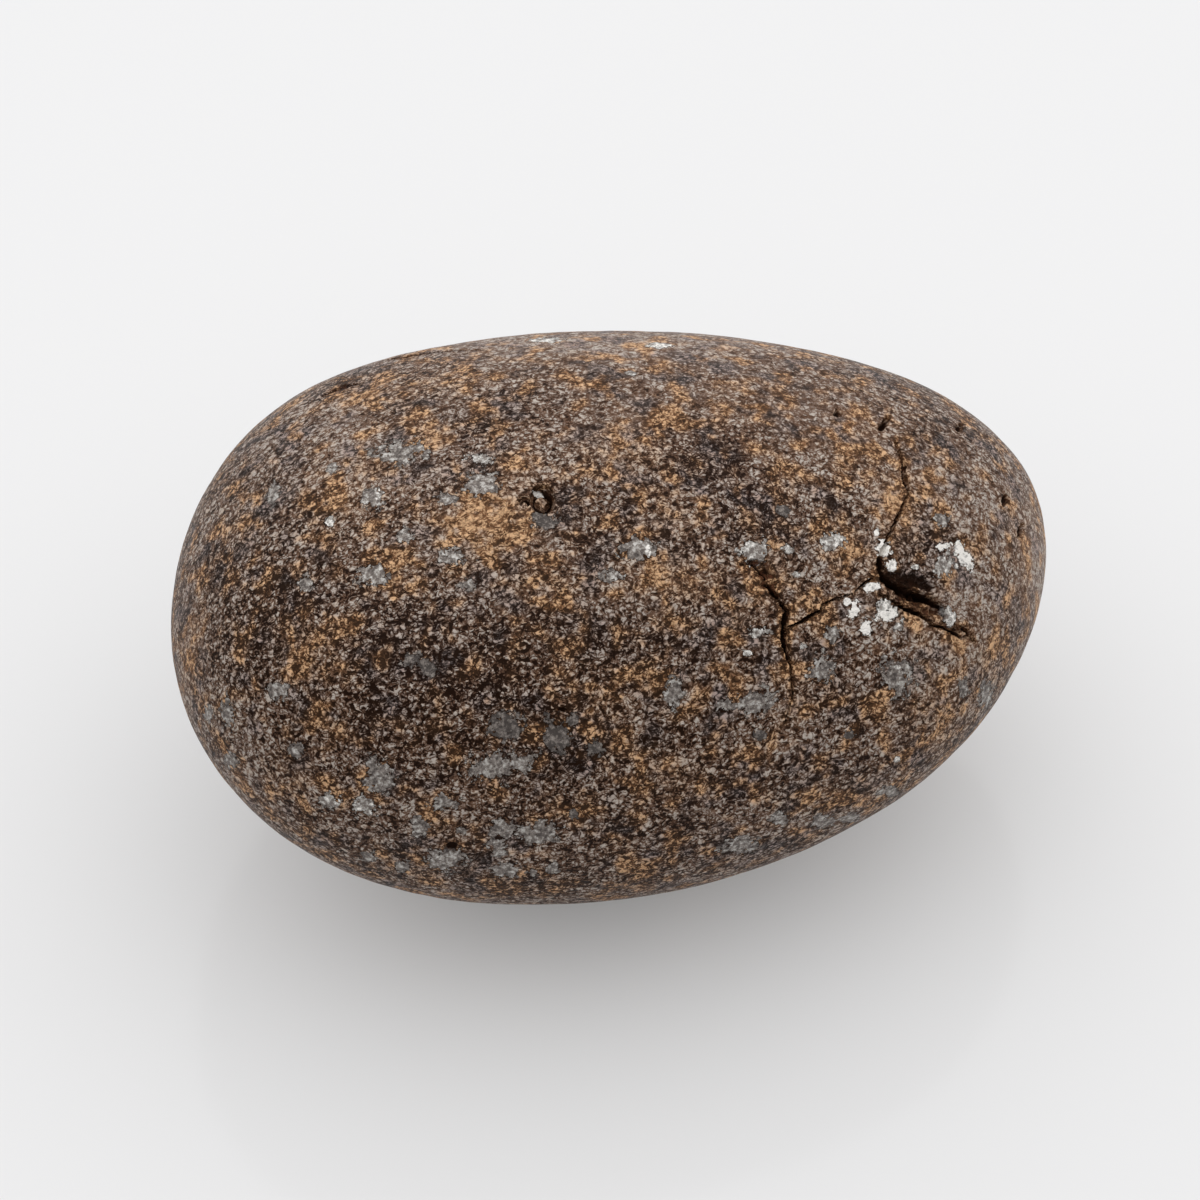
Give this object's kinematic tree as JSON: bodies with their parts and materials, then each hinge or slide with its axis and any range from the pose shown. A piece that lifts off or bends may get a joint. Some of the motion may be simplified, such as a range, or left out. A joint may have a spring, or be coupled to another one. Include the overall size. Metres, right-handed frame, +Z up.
{
  "type": "meteorite",
  "caption": "River-worn, egg-shaped stony meteorite with a forked crack, an open gash and a small round pit, for display or study.",
  "frame": {"origin": "centre of the stone's box on the surface that it rests on", "axes": "+X along the length towards the slim, cracked end; -Y towards the cracked front; +Z up"},
  "size_m": [0.045, 0.0306, 0.0263],
  "materials": {
    "worn_chondrite": "satin, worn smooth, fine brown and orange grains with grey metal flecks"
  },
  "bodies": {
    "root": {"meteorite_stone": "worn_chondrite"}
  },
  "joints": []
}
